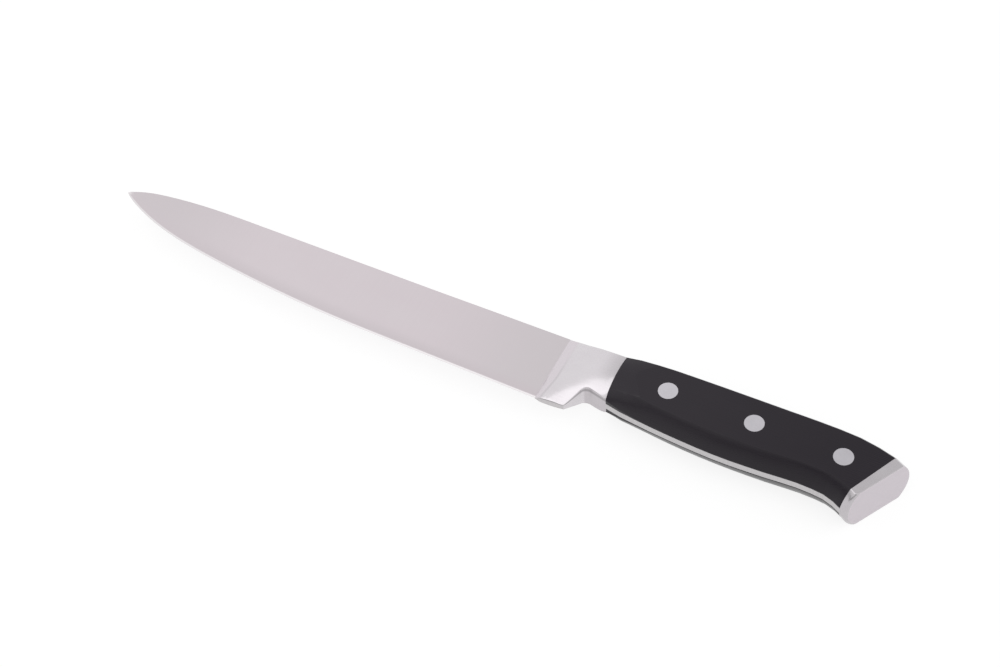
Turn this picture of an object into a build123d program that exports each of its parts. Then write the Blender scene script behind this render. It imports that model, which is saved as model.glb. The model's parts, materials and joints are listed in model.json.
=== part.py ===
from build123d import *
import os
from math import cos, radians, sin

# Carving knife with a slim blade, a welded bolster, a full tang, two riveted scales and an end cap.
# It lies on one flat side of its handle. X runs from the tip to the butt, Y from the cutting edge
# to the spine, and Z up through the thickness. Heights are measured from the rivet line, the
# straight line through the three rivets, and half widths from the middle plane of the tang.

# Lengths along the rivet line
blade_length = 203.7
bolster_length = 25.8
grip_length = 103.3
cap_length = 4.6

# Heights above and below the rivet line
heel_drop = 17.7
spine_rise = 12.2
palm_drop = 13.75
crown_rise = 14.45

# Blade thicknesses, and the bevel that is honed along its cutting edge
spine_thickness = 2.4
shoulder_thickness = 0.45
edge_land = 0.08
bevel_height = 0.8
bevel_limit_share = 0.35

# Stub of the blade that is seated and welded in the bolster
stub_length = 7.0
stub_thickness = 1.2
stub_drop = 2.0
stub_rise = 8.5

# Handle, whose sides are ground flat from a fuller rounded form
grip_thickness = 20.0
shoulder_half_width = 10.6
flank_height = 4.85
crown_height = 4.4
rim_width = 2.1
side_swell = 1.4
flank_belly = 1.2

# End cap: the slants of the joint in front of it and of its end face in degrees, the rounding of
# its end face into rim and flanks, and its broken edges
cap_joint_angle = 26.2
cap_end_angle = 29.4
cap_flank_rounding = 1.5
cap_edge_break = 0.2

# Bolster: the ground weld band in front with its slant in degrees, the body and its heel nose
weld_margin = 0.1
weld_crown_height = 0.3
weld_band_length = 3.0
weld_band_angle = 3.7
band_half_width = 2.3
bolster_rise = 12.6
nose_half_width = 1.7

# Finger notch behind the heel nose, set back from the joint of bolster and scales
guard_foot_setback = 14.0
guard_foot_drop = 16.8
guard_root_setback = 9.4
guard_root_drop = 7.6
guard_radius = 3.0

# Tang, and the tenons at its two ends
tang_thickness = 3.0
front_tenon_length = 8.0
front_tenon_drop = 5.0
front_tenon_rise = 7.0
rear_tenon_length = 2.4
rear_tenon_drop = 9.0
rear_tenon_rise = 4.0

# Rivets, each a headed sleeve with a headed pin driven into it, at shares of the grip length
rivet_shares = {"front": 0.2043, "middle": 0.5382, "rear": 0.8722}
head_diameter = 7.5
head_thickness = 1.6
sleeve_diameter = 5.0
pin_diameter = 3.0
end_play = 0.6

# Gap round each seated piece, and the overrun of the notch past what it cuts
fit_gap = 0.05
overrun = 5.0

# Strips into which the ruled surfaces of bolster and handle are divided
bolster_strips = 12
handle_strips = 16

# Stations of the blade, as shares: of its length in front of the bolster, and then the drop of its
# edge from the heel drop, the rise of its spine from the spine rise and its spine thickness
blade_shares = [
    (0.000, 1.000, 1.000, 1.00),
    (0.030, 0.997, 0.996, 0.99),
    (0.069, 0.993, 0.992, 0.98),
    (0.141, 0.985, 0.985, 0.96),
    (0.288, 0.967, 0.965, 0.91),
    (0.435, 0.941, 0.955, 0.86),
    (0.582, 0.840, 0.950, 0.80),
    (0.705, 0.697, 0.945, 0.74),
    (0.803, 0.542, 0.925, 0.67),
    (0.877, 0.360, 0.842, 0.60),
    (0.926, 0.180, 0.740, 0.54),
    (0.960, 0.019, 0.625, 0.48),
    (0.980, -0.094, 0.518, 0.42),
    (1.000, -0.247, 0.385, 0.30),
]

# Sections of the bolster behind its weld band, as shares: of the way to the handle, and then
# bottom of heel drop, flank of flank height, lower and upper half width of the band's, crown of
# crown height, top of bolster rise, rim of the nose's half width, swell and belly of the handle's
bolster_shares = [
    (0.00, 1.000, 1.85, 0.87, 1.00, 0.28, 1.005, 0.75, 0.10, 0.10),
    (0.20, 0.980, 2.00, 1.45, 1.50, 0.38, 1.000, 1.00, 0.20, 0.15),
    (0.43, 0.955, 2.20, 2.15, 2.20, 0.50, 0.995, 0.75, 0.60, 0.30),
]

# Sections of the handle, as shares: of the grip length, of the slant of the cap joint, and then
# bottom of palm drop, flank of flank height, lower and upper half width of the shoulder's, crown
# of crown height, top of crown rise, rim, swell and belly
grip_shares = [
    (0.000, 0.00, 0.710, 0.76, 0.68, 0.77, 0.59, 0.790, 1.00, 1.00, 0.30),
    (0.054, 0.00, 0.790, 0.85, 0.83, 0.87, 0.68, 0.837, 0.60, 0.60, 0.50),
    (0.132, 0.00, 0.860, 0.91, 0.95, 0.95, 0.86, 0.900, 0.30, 0.20, 0.30),
    (0.306, 0.00, 0.963, 0.93, 1.00, 1.00, 1.00, 0.952, 0.20, 0.15, 0.35),
    (0.461, 0.00, 1.003, 0.95, 1.00, 1.00, 1.00, 0.972, 0.20, 0.15, 0.35),
    (0.616, 0.00, 0.957, 0.88, 1.00, 1.00, 1.00, 0.986, 0.20, 0.15, 0.35),
    (0.771, 0.00, 0.885, 0.85, 1.00, 1.00, 1.00, 1.000, 0.20, 0.15, 0.25),
    (0.896, 0.50, 0.975, 0.91, 1.00, 1.00, 1.00, 0.969, 0.20, 0.15, 0.40),
    (1.000, 1.00, 1.276, 1.01, 1.00, 1.00, 1.00, 0.817, 0.20, 0.15, 0.50),
]
end_shares = (1.391, 0.90, 1.00, 1.00, 1.00, 0.675, 0.20, 0.15, 1.00)

# Places along the knife, whose two ends lie at equal distances from the origin, and across it
butt_overhang = crown_rise * end_shares[5] * sin(radians(cap_end_angle))
overall_length = blade_length + bolster_length + grip_length + cap_length + butt_overhang
heel_x = blade_length - overall_length / 2
joint_x = heel_x + bolster_length
cap_x = joint_x + grip_length
end_x = cap_x + cap_length
line_y = (heel_drop - crown_rise) / 2
middle_z = grip_thickness / 2
rivet_points = [(joint_x + grip_length * share, line_y) for share in rivet_shares.values()]


def across(x, angle=0):
    """Plane across the knife at a place on the rivet line, its own X up the knife's height."""
    slant = radians(angle)
    return Plane(
        origin=(x, line_y, middle_z),
        x_dir=(sin(slant), cos(slant), 0),
        z_dir=(cos(slant), -sin(slant), 0),
    )


def blade_section(drop, rise, thickness):
    """Corners of one blade section: the spine, the ground faces, the honed bevels and the edge."""
    edge, spine = -heel_drop * drop, spine_rise * rise
    shoulder = edge + min(bevel_height, bevel_limit_share * (spine - edge))
    half = spine_thickness * thickness / 2
    side = [(spine, half), (shoulder, min(shoulder_thickness / 2, half)), (edge, edge_land / 2)]
    return side + [(height, -width) for height, width in reversed(side)]


def rounded_section(bottom, flank, lower, upper, crown, top, rim, swell, belly):
    """Outline of bolster or handle: flat rim, bellied flanks, swelling sides and arched crown."""
    low, high = bottom + flank, top - crown
    with BuildLine() as outline:
        Line((bottom, -rim), (bottom, rim))
        SagittaArc((bottom, rim), (low, lower), belly)
        SagittaArc((low, lower), (high, upper), swell)
        ThreePointArc((high, upper), (top, 0), (high, -upper))
        SagittaArc((high, -upper), (low, -lower), swell)
        SagittaArc((low, -lower), (bottom, -rim), belly)
    return outline.edges()


def grip_sizes(bottom, flank, lower, upper, crown, top, rim, swell, belly):
    """Sizes of one handle section, from its shares of the handle's sizes."""
    return (
        -palm_drop * bottom,
        flank_height * flank,
        shoulder_half_width * lower,
        shoulder_half_width * upper,
        crown_height * crown,
        crown_rise * top,
        tang_thickness / 2 + rim_width * rim,
        side_swell * swell,
        flank_belly * belly,
    )


def bolster_sizes(bottom, flank, lower, upper, crown, top, rim, swell, belly):
    """Sizes of one bolster section, from its shares of the bolster's sizes."""
    return (
        -heel_drop * bottom,
        flank_height * flank,
        band_half_width * lower,
        band_half_width * upper,
        crown_height * crown,
        bolster_rise * top,
        nose_half_width * rim,
        side_swell * swell,
        flank_belly * belly,
    )


def weld_sizes(flank, crown):
    """Sizes of the bolster's front edge, which follows the blade's section a little outside it."""
    spine_half, shoulder_half = spine_thickness / 2, shoulder_thickness / 2
    wedge_height = spine_rise + heel_drop - bevel_height
    widening = (spine_half - shoulder_half) / wedge_height
    return (
        -heel_drop,
        flank,
        shoulder_half + widening * (flank - bevel_height) + weld_margin,
        spine_half + weld_margin,
        crown,
        spine_rise + weld_margin,
        shoulder_half + weld_margin,
        weld_margin / 2,
        weld_margin / 2,
    )


def smoothed(rows, strips):
    """Rows at even steps along a table, on smooth curves through the rows that the table has."""
    steps = [after[0] - before[0] for before, after in zip(rows, rows[1:])]
    slopes = [
        [(b - a) / step for a, b in zip(before, after)]
        for before, after, step in zip(rows, rows[1:], steps)
    ]
    leans = [
        [(p * h2 + q * h1) / (h1 + h2) for p, q in zip(first, second)]
        for first, second, h1, h2 in zip(slopes, slopes[1:], steps, steps[1:])
    ]
    leans.insert(0, [(3 * p - m) / 2 for p, m in zip(slopes[0], leans[0])])
    leans.append([(3 * p - m) / 2 for p, m in zip(slopes[-1], leans[-1])])
    for place in [i / strips for i in range(strips + 1)]:
        k = max(i for i, row in enumerate(rows[:-1]) if row[0] <= place)
        t = (place - rows[k][0]) / steps[k]
        yield [
            a + t * (b - a) + t * (1 - t) * ((1 - t) * (m * steps[k] - b + a) - t * (n * steps[k] - b + a))
            for a, b, m, n in zip(rows[k], rows[k + 1], leans[k], leans[k + 1])
        ]


def tenon(plane, drop, rise, thickness, length, gap=0):
    """Flat tongue that stands on a plane, or with a gap the pocket that it is seated in."""
    with BuildPart() as tongue:
        with BuildSketch(plane):
            with Locations(((rise - drop) / 2, 0)):
                Rectangle(rise + drop + 2 * gap, thickness + 2 * gap)
        extrude(amount=length + gap)
    return tongue.part


cap_joint_plane = across(cap_x, cap_joint_angle)
end_plane = across(end_x, cap_end_angle)
stub = (across(heel_x), stub_drop, stub_rise, stub_thickness, stub_length)
front_tenon = (
    -across(joint_x),
    front_tenon_drop,
    front_tenon_rise,
    tang_thickness,
    front_tenon_length,
)
rear_tenon = (
    cap_joint_plane,
    rear_tenon_drop,
    rear_tenon_rise,
    tang_thickness,
    rear_tenon_length,
)

# Blade, lofted through its stations, with the stub that the bolster holds
with BuildPart() as blade:
    for along, *shares in blade_shares:
        with BuildSketch(across(heel_x - blade_length * along)):
            with BuildLine():
                Polyline(*blade_section(*shares), close=True)
            make_face()
    loft()
    add(tenon(*stub))
blade.part.label = "blade"

# Form of the whole handle, ruled in strips to the end face and then ground flat on both sides
handle_rows = [
    (along, cap_joint_angle * slant, *grip_sizes(*shares)) for along, slant, *shares in grip_shares
]
with BuildPart() as handle_form:
    for along, angle, *sizes in smoothed(handle_rows, handle_strips):
        with BuildSketch(across(joint_x + grip_length * along, angle)):
            make_face(rounded_section(*sizes))
    with BuildSketch(end_plane):
        make_face(rounded_section(*grip_sizes(*end_shares)))
    loft(ruled=True)
    with BuildSketch(Plane.XY):
        Rectangle(overall_length, 2 * (heel_drop + crown_rise))
    extrude(amount=grip_thickness, mode=Mode.INTERSECT)

# Bolster: the weld band, and the body that swells from it to the first section of the handle
body_length = bolster_length - weld_band_length
bolster_rows = [
    (along, weld_band_angle * (1 - along), *bolster_sizes(*shares)) for along, *shares in bolster_shares
]
bolster_rows.append((1, 0, *handle_rows[0][2:]))
with BuildPart() as bolster:
    with BuildSketch(across(heel_x)):
        make_face(rounded_section(*weld_sizes(bolster_rows[0][3], weld_crown_height)))
    for along, angle, *sizes in smoothed(bolster_rows, bolster_strips):
        with BuildSketch(across(joint_x - body_length * (1 - along), angle)):
            make_face(rounded_section(*sizes))
    loft(ruled=True)
    with BuildSketch(Plane.XY):
        foot = Vector(joint_x - guard_foot_setback, line_y - guard_foot_drop)
        root = Vector(joint_x - guard_root_setback, line_y - guard_root_drop)
        rear = Vector(joint_x, line_y - palm_drop * grip_shares[0][2] + weld_margin)
        front = foot + (foot - root).normalized() * overrun
        with BuildLine():
            FilletPolyline(front, root, rear, radius=guard_radius)
            Polyline(rear, (rear.X, front.Y), front)
        make_face()
    extrude(amount=grip_thickness, mode=Mode.SUBTRACT)
    add(tenon(*stub, gap=fit_gap), mode=Mode.SUBTRACT)
    add(tenon(*front_tenon, gap=fit_gap), mode=Mode.SUBTRACT)
bolster.part.label = "bolster"

# Tang: the middle slice of the handle form, with its tenons and the holes for the rivets
tang_low = Plane.XY.offset(middle_z - tang_thickness / 2)
tang_high = Plane.XY.offset(middle_z + tang_thickness / 2)
with BuildPart() as tang:
    add(handle_form.part)
    split(bisect_by=tang_low, keep=Keep.TOP)
    split(bisect_by=tang_high, keep=Keep.BOTTOM)
    split(bisect_by=cap_joint_plane, keep=Keep.BOTTOM)
    add(tenon(*front_tenon))
    add(tenon(*rear_tenon))
    with Locations(*[(x, y, middle_z) for x, y in rivet_points]):
        Hole(radius=sleeve_diameter / 2 + fit_gap)
tang.part.label = "tang"

# Scales: the outer slices of the handle form, with a counterbored hole for each rivet
with BuildPart() as upper_scale:
    add(handle_form.part)
    split(bisect_by=tang_high, keep=Keep.TOP)
    split(bisect_by=cap_joint_plane, keep=Keep.BOTTOM)
    with Locations(*[Location((x, y, grip_thickness)) for x, y in rivet_points]):
        CounterBoreHole(
            radius=sleeve_diameter / 2 + fit_gap,
            counter_bore_radius=head_diameter / 2 + fit_gap,
            counter_bore_depth=head_thickness,
        )
upper_scale.part.label = "upper_scale"

with BuildPart() as lower_scale:
    add(handle_form.part)
    split(bisect_by=tang_low, keep=Keep.BOTTOM)
    split(bisect_by=cap_joint_plane, keep=Keep.BOTTOM)
    with Locations(*[Location((x, y, 0), (180, 0, 0)) for x, y in rivet_points]):
        CounterBoreHole(
            radius=sleeve_diameter / 2 + fit_gap,
            counter_bore_radius=head_diameter / 2 + fit_gap,
            counter_bore_depth=head_thickness,
        )
lower_scale.part.label = "lower_scale"

# End cap: the last slice of the handle form, pocketed for the tang. Its end face runs into rim and
# flanks in a rounding, and its other end edges are broken.
up_end, off_end = [Axis(end_plane.origin, way) for way in (end_plane.x_dir, end_plane.z_dir)]
with BuildPart() as end_cap:
    add(handle_form.part)
    split(bisect_by=cap_joint_plane, keep=Keep.TOP)
    end_face = end_cap.faces().sort_by(off_end)[-1]
    fillet(end_face.edges().sort_by(up_end)[:3], radius=cap_flank_rounding)
    end_face = end_cap.faces().sort_by(off_end)[-1]
    chamfer(end_face.edges().sort_by(up_end)[3:], length=cap_edge_break)
    add(tenon(*rear_tenon, gap=fit_gap), mode=Mode.SUBTRACT)
end_cap.part.label = "end_cap"

# Rivets: the sleeve comes up from the lower side and the pin goes down into it
pieces = [blade, bolster, tang, upper_scale, lower_scale, end_cap]
shank_length = grip_thickness - 2 * head_thickness - end_play
for name, (x, y) in zip(rivet_shares, rivet_points):
    with BuildPart() as rivet_sleeve:
        with Locations((x, y)):
            Cylinder(head_diameter / 2, head_thickness, align=(Align.CENTER, Align.CENTER, Align.MIN))
        with Locations((x, y, head_thickness)):
            Cylinder(sleeve_diameter / 2, shank_length, align=(Align.CENTER, Align.CENTER, Align.MIN))
        with Locations((x, y, head_thickness + shank_length)):
            Hole(radius=pin_diameter / 2 + fit_gap, depth=shank_length)
    rivet_sleeve.part.label = f"{name}_rivet_sleeve"

    with BuildPart() as rivet_pin:
        with Locations((x, y, grip_thickness)):
            Cylinder(head_diameter / 2, head_thickness, align=(Align.CENTER, Align.CENTER, Align.MAX))
        with Locations((x, y, grip_thickness - head_thickness)):
            Cylinder(pin_diameter / 2, shank_length, align=(Align.CENTER, Align.CENTER, Align.MAX))
    rivet_pin.part.label = f"{name}_rivet_pin"
    pieces += [rivet_sleeve, rivet_pin]

os.makedirs("parts", exist_ok=True)
for piece in pieces:
    export_step(piece.part, f"parts/{piece.part.label}.step")
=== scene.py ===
import json
from math import radians

import bpy
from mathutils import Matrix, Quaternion, Vector


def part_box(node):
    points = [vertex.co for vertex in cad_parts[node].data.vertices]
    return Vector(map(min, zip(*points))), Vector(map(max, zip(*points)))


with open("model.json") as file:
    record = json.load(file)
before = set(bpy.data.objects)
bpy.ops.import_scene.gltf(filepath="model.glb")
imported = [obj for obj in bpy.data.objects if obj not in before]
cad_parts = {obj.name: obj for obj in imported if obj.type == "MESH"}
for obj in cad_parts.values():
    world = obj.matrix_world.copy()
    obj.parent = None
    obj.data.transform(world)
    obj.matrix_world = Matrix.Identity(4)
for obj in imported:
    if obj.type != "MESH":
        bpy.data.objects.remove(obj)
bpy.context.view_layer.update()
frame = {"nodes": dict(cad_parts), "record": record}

# Looks of a carving knife that lies on a pale floor, its tip towards -X, its edge towards -Y and
# its spine towards +Y. Everything is in metres. The solids come from the frame, and this script
# gives each its finish.

MM = 0.001

# Places on the knife that the finishes follow
middle_z = sum(corner.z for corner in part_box("tang")) / 2
grip_low, grip_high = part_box("upper_scale")
blade_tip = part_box("blade")[0].x
bolster_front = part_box("bolster")[0].x


# Short ways to write shader nodes

def add_node(tree, kind, inputs=None, **settings):
    """Adds a shader node, with its settings, and links or sets each named input."""
    made = tree.nodes.new(kind)
    for name, value in settings.items():
        setattr(made, name, value)
    for name, value in (inputs or {}).items():
        if isinstance(value, bpy.types.NodeSocket):
            tree.links.new(value, made.inputs[name])
        else:
            made.inputs[name].default_value = value
    return made


def calculated(tree, operation, first, second=0.0):
    """One sum of one or two values, as a socket."""
    inputs = {0: first, 1: second}
    return add_node(tree, "ShaderNodeMath", inputs, operation=operation).outputs[0]


def between(tree, value, start, stop, low=0.0, high=1.0):
    """A value that goes smoothly from low to high as another goes from start to stop."""
    return add_node(
        tree,
        "ShaderNodeMapRange",
        {"Value": value, "From Min": start, "From Max": stop, "To Min": low, "To Max": high},
        interpolation_type="SMOOTHSTEP",
    ).outputs["Result"]


def blended(tree, share, first, second):
    """A value part way from the first to the second."""
    return add_node(tree, "ShaderNodeMix", {0: share, 2: first, 3: second}).outputs[0]


def mixed(tree, share, first, second):
    """A colour part way from the first to the second."""
    inputs = {0: share, 6: first, 7: second}
    return add_node(tree, "ShaderNodeMix", inputs, data_type="RGBA").outputs[2]


def position(tree):
    """Place on the knife, as one socket and as one for each axis."""
    coordinates = add_node(tree, "ShaderNodeTexCoord").outputs["Object"]
    return coordinates, add_node(tree, "ShaderNodeSeparateXYZ", {0: coordinates}).outputs


def facing(tree):
    """How far each flat bit of the surface faces along each axis."""
    normal = add_node(tree, "ShaderNodeNewGeometry").outputs["True Normal"]
    return add_node(tree, "ShaderNodeSeparateXYZ", {0: normal}).outputs


def grain(tree, coordinates, lengths, detail=3.0, roughness=0.6):
    """Noise whose spots have these lengths along the three axes."""
    scaled = add_node(
        tree,
        "ShaderNodeMapping",
        {"Vector": coordinates, "Scale": [1 / length for length in lengths]},
    ).outputs[0]
    return add_node(
        tree,
        "ShaderNodeTexNoise",
        {"Vector": scaled, "Scale": 1.0, "Detail": detail, "Roughness": roughness},
    ).outputs["Fac"]


def grey(level, rose=0.0, violet=0.0):
    """A nearly neutral colour, with a small share of rose or violet in it."""
    return (level * (1 + rose), level * (1 - rose - violet), level * (1 + violet), 1.0)


def new_material(name, **inputs):
    """A material with one principled shader, its plain inputs set on the shader itself."""
    made = bpy.data.materials.new(name)
    made.use_nodes = True
    tree = made.node_tree
    tree.nodes.clear()
    shader = add_node(tree, "ShaderNodeBsdfPrincipled", inputs)
    add_node(tree, "ShaderNodeOutputMaterial", {"Surface": shader.outputs[0]})
    return made, tree, shader


def finish(tree, shader, tone, gloss, height, depth, strength=0.5):
    """Gives the shader its colour, its roughness and a relief that is so many metres deep."""
    relief = {"Height": height, "Distance": depth, "Strength": strength}
    bump = add_node(tree, "ShaderNodeBump", relief).outputs["Normal"]
    for name, value in (("Base Color", tone), ("Roughness", gloss), ("Normal", bump)):
        tree.links.new(value, shader.inputs[name])


# Finishes. Each tone is named after the spots, lines or faces that have it, or after the
# reflection it paints.

def blade_steel():
    """Satin steel ground from spine to edge, a little darker above its bright honed bevel."""
    made, tree, shader = new_material("satin_blade_steel", Metallic=1.0)
    coordinates, place = position(tree)
    faces = facing(tree)
    rosy_cloud, pale_cloud, line = grey(0.620, 0.055), grey(0.645, 0.040), grey(0.56, 0.04)
    rear, tip = grey(0.585, 0.035), grey(0.575, 0.040)
    low_band, honed = grey(0.575, 0.045), grey(0.70, 0.02)

    lines = grain(tree, coordinates, (0.18 * MM, 24 * MM, 8 * MM))
    streaks = grain(tree, coordinates, (1.6 * MM, 40 * MM, 8 * MM), detail=2.0)
    clouds = grain(tree, coordinates, (34 * MM, 12 * MM, 8 * MM), detail=2.0)
    near_bolster = between(tree, place[0], bolster_front - 55 * MM, bolster_front)
    near_tip = between(tree, place[0], blade_tip + 75 * MM, blade_tip + 15 * MM)
    # Half the thickness tells how far above the edge a place on the ground face is
    half_thickness = calculated(
        tree, "ABSOLUTE", calculated(tree, "SUBTRACT", place[2], middle_z)
    )
    above_edge = between(tree, half_thickness, 0.23 * MM, 0.40 * MM)
    # The ground faces look almost straight up or down, and the bevels a little aside
    bevel = between(tree, calculated(tree, "ABSOLUTE", faces[2]), 0.996, 0.990)

    tone = mixed(tree, clouds, rosy_cloud, pale_cloud)
    tone = mixed(tree, calculated(tree, "MULTIPLY", lines, 0.25), tone, line)
    tone = mixed(tree, calculated(tree, "MULTIPLY", streaks, 0.12), tone, line)
    tone = mixed(tree, near_bolster, tone, rear)
    tone = mixed(tree, near_tip, tone, tip)
    tone = mixed(tree, above_edge, low_band, tone)
    tone = mixed(tree, bevel, tone, honed)
    gloss = between(tree, lines, 0.2, 0.8, 0.30, 0.40)
    finish(tree, shader, tone, gloss, lines, 0.004 * MM)
    return made


def bolster_steel():
    """Polished steel with faint scratches, a ground band over the weld, a ground underside and
    painted dark reflections.
    """
    made, tree, shader = new_material("polished_bolster_steel", Metallic=1.0)
    coordinates, place = position(tree)
    faces = facing(tree)
    dull_cloud, bright_cloud = grey(0.62, 0.025, 0.012), grey(0.67, 0.012, 0.010)
    welded, line = grey(0.635, 0.030, 0.012), grey(0.54, 0.020, 0.010)
    # The next two tones are painted dark reflections, one in front of the scales and one along
    # the notch's rounding
    painted_grip_reflection, painted_rounding_reflection = grey(0.38, 0.020, 0.010), grey(0.22, 0.02, 0.01)
    heel_pale, heel_dark = grey(0.60, 0.02), grey(0.48, 0.02)
    notch_pale, notch_dark = grey(0.58, 0.025, 0.01), grey(0.49, 0.025, 0.01)
    # The heel nose goes over into the finger notch between these two places along the knife
    nose_end, notch_start = 44.5 * MM, 49.0 * MM

    scratches = grain(tree, coordinates, (9 * MM, 0.25 * MM, 0.6 * MM))
    strokes = grain(tree, coordinates, (0.30 * MM, 6 * MM, 12 * MM))
    clouds = grain(tree, coordinates, (7 * MM, 5 * MM, 5 * MM), detail=2.0)
    underside = between(tree, faces[1], -0.70, -0.90)

    # The band over the weld ends in a faint line, which lies farther forward towards the heel
    tone = mixed(tree, clouds, dull_cloud, bright_cloud)
    line_low, line_high = bolster_front + 2.1 * MM, bolster_front + 4.0 * MM
    line_x = between(tree, place[1], -17.5 * MM, -4.0 * MM, line_low, line_high)
    behind_line = calculated(tree, "SUBTRACT", place[0], line_x)
    band = between(tree, behind_line, 0.40 * MM, -0.40 * MM)
    tone = mixed(tree, band, tone, welded)
    off_line = calculated(tree, "ABSOLUTE", behind_line)
    seam = calculated(
        tree,
        "MULTIPLY",
        between(tree, off_line, 0.80 * MM, 0.05 * MM),
        between(tree, place[1], 8.0 * MM, -6.0 * MM, 0.1, 0.7),
    )
    tone = mixed(tree, seam, tone, line)

    # Painted dark reflection: the upper half is a little darker in front of the scales
    painted_reflection_by_grip = calculated(
        tree,
        "MULTIPLY",
        between(tree, place[0], grip_low.x - 9 * MM, grip_low.x, 0.0, 0.5),
        between(tree, place[1], -9.0 * MM, 2.0 * MM),
    )
    tone = mixed(tree, painted_reflection_by_grip, tone, painted_grip_reflection)

    # The underside, ground across, has other tones in the finger notch than under the heel
    notch = between(tree, place[0], nose_end, notch_start)
    heel_tone = mixed(tree, strokes, heel_pale, heel_dark)
    notch_tone = mixed(tree, strokes, notch_pale, notch_dark)
    tone = mixed(tree, underside, tone, mixed(tree, notch, heel_tone, notch_tone))

    # Painted dark reflection of the rounding along the notch's upper edge, which narrows to a
    # line along the heel
    edge_z = between(tree, place[0], nose_end, notch_start, 11.3 * MM, 13.3 * MM)
    reach = between(tree, place[0], nose_end, notch_start, 0.6 * MM, 1.3 * MM)
    off_edge = calculated(tree, "ABSOLUTE", calculated(tree, "SUBTRACT", edge_z, place[2]))
    lower = calculated(
        tree,
        "MULTIPLY",
        between(tree, faces[2], 0.5, 0.3),
        between(tree, faces[1], -0.25, -0.45),
    )
    painted_reflection_share = between(tree, calculated(tree, "DIVIDE", off_edge, reach), 1.0, 0.1, 0.0, 0.62)
    tone = mixed(tree, calculated(tree, "MULTIPLY", lower, painted_reflection_share), tone, painted_rounding_reflection)

    polished = between(tree, scratches, 0.25, 0.75, 0.20, 0.28)
    ground = between(tree, strokes, 0.2, 0.8, 0.26, 0.36)
    gloss = blended(tree, underside, polished, ground)
    relief = blended(tree, underside, scratches, strokes)
    finish(tree, shader, tone, gloss, relief, 0.003 * MM)
    return made


def tang_steel():
    """Steel strip, ground across its edge, so that fine lines cross it."""
    made, tree, shader = new_material("ground_tang_steel", Metallic=1.0)
    coordinates, _ = position(tree)
    dull_cloud, bright_cloud, line = grey(0.54, 0.020), grey(0.61, 0.010), grey(0.42, 0.01)
    strokes = grain(tree, coordinates, (0.30 * MM, 3 * MM, 12 * MM))
    clouds = grain(tree, coordinates, (12 * MM, 6 * MM, 6 * MM), detail=2.0)
    tone = mixed(tree, clouds, dull_cloud, bright_cloud)
    tone = mixed(tree, calculated(tree, "MULTIPLY", strokes, 0.6), tone, line)
    gloss = between(tree, strokes, 0.2, 0.8, 0.26, 0.40)
    finish(tree, shader, tone, gloss, strokes, 0.004 * MM)
    return made


def cap_steel():
    """Polished sides and a satin end face."""
    made, tree, shader = new_material("end_cap_steel", Metallic=1.0)
    coordinates, _ = position(tree)
    dull_cloud, bright_cloud = grey(0.47, 0.025, 0.01), grey(0.54, 0.015, 0.01)
    end_tone = grey(0.60, 0.030, 0.015)
    lines = grain(tree, coordinates, (2 * MM, 7 * MM, 0.22 * MM))
    clouds = grain(tree, coordinates, (5 * MM, 5 * MM, 5 * MM), detail=2.0)
    end_face = between(tree, facing(tree)[0], 0.75, 0.85)
    tone = mixed(tree, end_face, mixed(tree, clouds, dull_cloud, bright_cloud), end_tone)
    polished = between(tree, lines, 0.2, 0.8, 0.18, 0.26)
    satin = between(tree, lines, 0.2, 0.8, 0.36, 0.48)
    gloss = blended(tree, end_face, polished, satin)
    finish(tree, shader, tone, gloss, lines, 0.003 * MM)
    return made


def rivet_steel():
    """Satin rivet heads, ground flush together with the scales, and paler towards the bolster."""
    made, tree, shader = new_material("satin_rivet_steel", Metallic=1.0)
    coordinates, place = position(tree)
    dull_cloud, bright_cloud = grey(0.47, 0.0, 0.03), grey(0.54, 0.0, 0.03)
    front_tone = grey(0.74, 0.0, 0.03)
    lines = grain(tree, coordinates, (9 * MM, 0.20 * MM, 2 * MM))
    clouds = grain(tree, coordinates, (3 * MM, 3 * MM, 3 * MM), detail=2.0)
    forward = between(tree, place[0], grip_high.x, grip_low.x)
    tone = mixed(tree, clouds, dull_cloud, bright_cloud)
    tone = mixed(tree, calculated(tree, "MULTIPLY", forward, 0.35), tone, front_tone)
    gloss = between(tree, lines, 0.2, 0.8, 0.34, 0.48)
    finish(tree, shader, tone, gloss, lines, 0.003 * MM)
    return made


def scale_plastic():
    """Satin black moulded plastic with fine pores and rubs, and paler towards the bolster."""
    made, tree, shader = new_material("satin_black_plastic", **{"Specular IOR Level": 0.25})
    coordinates, place = position(tree)
    deep_cloud, pale_cloud = grey(0.011, 0.05, 0.22), grey(0.015, 0.05, 0.18)
    front_tone = grey(0.029, 0.03, 0.10)
    pores = grain(tree, coordinates, (0.35 * MM, 0.35 * MM, 0.35 * MM))
    rubs = grain(tree, coordinates, (16 * MM, 0.5 * MM, 2 * MM))
    clouds = grain(tree, coordinates, (22 * MM, 9 * MM, 9 * MM), detail=2.0)
    forward = between(tree, place[0], grip_high.x, grip_low.x)
    tone = mixed(tree, clouds, deep_cloud, pale_cloud)
    tone = mixed(tree, calculated(tree, "MULTIPLY", forward, 0.6), tone, front_tone)
    gloss = between(tree, rubs, 0.2, 0.8, 0.24, 0.34)
    finish(tree, shader, tone, gloss, pores, 0.006 * MM, strength=0.35)
    return made


finishes = {
    "blade": blade_steel(),
    "bolster": bolster_steel(),
    "tang": tang_steel(),
    "end_cap": cap_steel(),
    "rivet": rivet_steel(),
    "scale": scale_plastic(),
}

# Radius to which the sharp edges of each finish are broken. The blade keeps its edges sharp, and
# the end cap is rounded in its own solid.
edge_radii = {
    "bolster": 0.25 * MM,
    "tang": 0.05 * MM,
    "rivet": 0.10 * MM,
    "scale": 0.12 * MM,
}
sharp_angle = radians(25)
joining_distance = 0.0005 * MM


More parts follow.
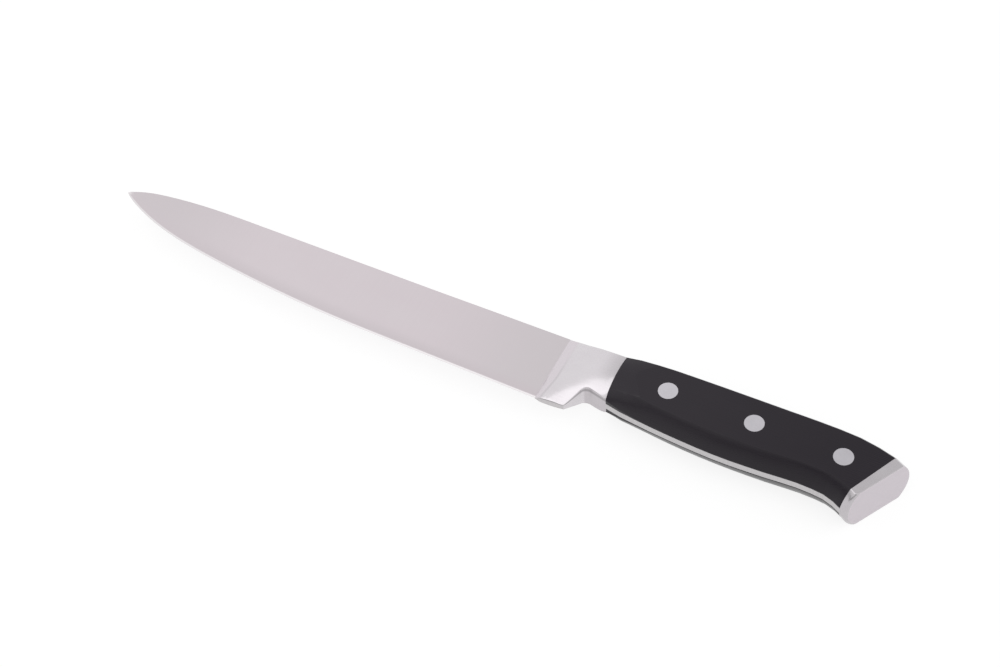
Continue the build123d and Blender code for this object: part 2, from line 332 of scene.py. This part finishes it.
def break_edges(node, radius):
    """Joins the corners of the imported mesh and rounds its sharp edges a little."""
    weld = node.modifiers.new("joined_corners", "WELD")
    weld.merge_threshold = joining_distance
    rounding = node.modifiers.new("broken_edges", "BEVEL")
    rounding.width = radius
    rounding.segments = 3
    rounding.limit_method = "ANGLE"
    rounding.angle_limit = sharp_angle
    rounding.harden_normals = True


slot_of = {row["node"]: row["material_slot"] for row in frame["record"]["subparts"]}
for name, node in frame["nodes"].items():
    slot = slot_of[name]
    node.data.materials.clear()
    node.data.materials.append(finishes[slot])
    if slot in edge_radii:
        break_edges(node, edge_radii[slot])


# Floor, light and camera

def seen_directly(tree):
    """One where the camera sees a thing directly, in a reflection or through glass."""
    rays = add_node(tree, "ShaderNodeLightPath").outputs
    seen = calculated(tree, "MAXIMUM", rays["Is Camera Ray"], rays["Is Glossy Ray"])
    return calculated(tree, "MAXIMUM", seen, rays["Is Transmission Ray"])


def add_floor():
    """A wide pale floor, seen as white paper with the knife's shadow on it."""
    reach = 6.0
    paper_tone, glow_strength = grey(0.21), 0.84
    mesh = bpy.data.meshes.new("floor")
    corners = [(-reach, -reach, 0), (reach, -reach, 0), (reach, reach, 0), (-reach, reach, 0)]
    mesh.from_pydata(corners, [], [(0, 1, 2, 3)])
    floor = bpy.data.objects.new("floor", mesh)
    bpy.context.scene.collection.objects.link(floor)
    material = bpy.data.materials.new("pale_floor")
    material.use_nodes = True
    tree = material.node_tree
    tree.nodes.clear()
    white = {"Color": grey(1.0), "Strength": glow_strength}
    paper = add_node(tree, "ShaderNodeBsdfDiffuse", {"Color": paper_tone}).outputs[0]
    glow = add_node(tree, "ShaderNodeEmission", white).outputs[0]
    lifted = add_node(tree, "ShaderNodeAddShader", {0: paper, 1: glow}).outputs[0]
    shaders = {0: seen_directly(tree), 1: paper, 2: lifted}
    surface = add_node(tree, "ShaderNodeMixShader", shaders).outputs[0]
    add_node(tree, "ShaderNodeOutputMaterial", {"Surface": surface})
    mesh.materials.append(material)


def background(tree, strength):
    """Even white light of a strength."""
    inputs = {"Color": grey(1.0), "Strength": strength}
    return add_node(tree, "ShaderNodeBackground", inputs).outputs[0]


def add_world():
    """Soft even light from all round. Reflections see it darker low in front and high behind."""
    light_strength, mirrored_strength, seen_strength = 0.72, 1.03, 1.0
    front_depth, back_depth = 0.75, 0.15
    world = bpy.data.worlds.new("studio")
    world.use_nodes = True
    tree = world.node_tree
    tree.nodes.clear()
    rays = add_node(tree, "ShaderNodeLightPath").outputs
    direction = add_node(tree, "ShaderNodeTexCoord").outputs["Generated"]
    ways = add_node(tree, "ShaderNodeSeparateXYZ", {0: direction}).outputs

    front = between(tree, ways[1], -0.25, -0.65, 0.0, front_depth)
    low = between(tree, ways[2], 0.25, 0.10)
    dark_front = calculated(tree, "MULTIPLY", front, low)
    behind = between(tree, ways[1], 0.10, 0.45)
    high = between(tree, ways[2], 0.40, 0.62)
    not_left = between(tree, ways[0], -0.44, -0.24, 0.0, back_depth)
    grey_back = calculated(tree, "MULTIPLY", not_left, calculated(tree, "MULTIPLY", behind, high))
    strength = calculated(tree, "SUBTRACT", mirrored_strength, dark_front)
    strength = calculated(tree, "SUBTRACT", strength, grey_back)

    mirrored = calculated(tree, "MAXIMUM", rays["Is Glossy Ray"], rays["Is Transmission Ray"])
    shaders = {0: mirrored, 1: background(tree, light_strength), 2: background(tree, strength)}
    unseen = add_node(tree, "ShaderNodeMixShader", shaders).outputs[0]
    shaders = {0: rays["Is Camera Ray"], 1: unseen, 2: background(tree, seen_strength)}
    surface = add_node(tree, "ShaderNodeMixShader", shaders).outputs[0]
    add_node(tree, "ShaderNodeOutputWorld", {"Surface": surface})
    bpy.context.scene.world = world


# Place, width and power in watts of each square softbox
softboxes = {
    "overhead_softbox": ((-0.42, -0.44, 1.08), 1.2, 2.0),
    "side_softbox": ((0.80, 0.25, 0.70), 0.6, 1.0),
}


def add_softbox(name, place, width, power):
    """A square soft lamp that points at the middle of the knife."""
    lamp = bpy.data.lights.new(name, "AREA")
    lamp.shape = "SQUARE"
    lamp.size = width
    lamp.energy = power
    made = bpy.data.objects.new(name, lamp)
    made.location = place
    made.rotation_euler = (-Vector(place)).to_track_quat("-Z", "Y").to_euler()
    bpy.context.scene.collection.objects.link(made)


def add_camera():
    """The photograph's view: from above the edge side, towards the tip and the spine."""
    place = Vector((0.25741, -0.38434, 0.59276))
    target = Vector((0.01030, -0.00092, 0.020))
    roll = radians(-6.1)
    camera = bpy.data.cameras.new("camera")
    camera.sensor_width = 36.0
    camera.lens = 69.12
    camera.clip_start = 0.01
    made = bpy.data.objects.new("camera", camera)
    made.location = place
    made.rotation_mode = "QUATERNION"
    level = (target - place).to_track_quat("-Z", "Y")
    made.rotation_quaternion = level @ Quaternion((0, 0, 1), roll)
    bpy.context.scene.collection.objects.link(made)
    bpy.context.scene.camera = made


add_floor()
add_world()
for name, (place, width, power) in softboxes.items():
    add_softbox(name, place, width, power)
add_camera()
bpy.context.scene.view_settings.view_transform = "Standard"
